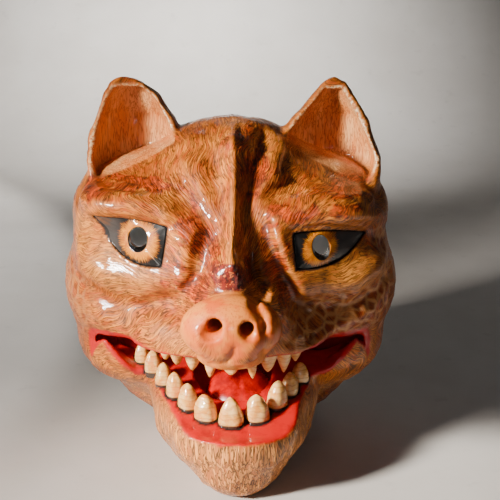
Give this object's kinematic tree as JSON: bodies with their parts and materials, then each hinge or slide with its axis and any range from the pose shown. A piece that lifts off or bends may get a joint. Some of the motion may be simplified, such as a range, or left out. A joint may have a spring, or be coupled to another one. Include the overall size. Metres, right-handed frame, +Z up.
{
  "type": "japanese wooden mask",
  "caption": "Carved and painted snarling beast mask with cupped ears, pig-like snout, inlaid eyes and open toothed mouth, hollow behind to be worn over the face.",
  "frame": {"origin": "on the flat foot under the jaw, on the middle line between the cheeks", "axes": "+Z up through the crown and ears, -Y the way the face looks, +X to the viewer's right"},
  "size_m": [0.2029, 0.1576, 0.2252],
  "materials": {
    "fur_paint": "carved wood with brushed orange-brown fur lines under a glossy varnish, red lips and peach snout",
    "eye_paint": "amber iris with feathered black edge and dark corners under a high gloss",
    "ivory_paint": "ivory paint with orange grain rings, satin gloss",
    "tongue_paint": "glossy red lacquer"
  },
  "bodies": {
    "root": {"face_shell": "fur_paint", "eye_left": "eye_paint", "eye_right": "eye_paint", "tongue": "tongue_paint", "lower_tooth_1": "ivory_paint", "lower_tooth_2": "ivory_paint", "lower_tooth_3": "ivory_paint", "lower_tooth_4": "ivory_paint", "lower_tooth_5": "ivory_paint", "lower_tooth_6": "ivory_paint", "lower_tooth_7": "ivory_paint", "lower_tooth_8": "ivory_paint", "lower_tooth_9": "ivory_paint", "lower_tooth_10": "ivory_paint", "lower_tooth_11": "ivory_paint", "upper_tooth_1": "ivory_paint", "upper_tooth_2": "ivory_paint", "upper_tooth_3": "ivory_paint", "upper_tooth_4": "ivory_paint", "upper_tooth_5": "ivory_paint", "upper_tooth_6": "ivory_paint", "upper_tooth_7": "ivory_paint", "upper_tooth_8": "ivory_paint", "upper_tooth_9": "ivory_paint"}
  },
  "joints": []
}
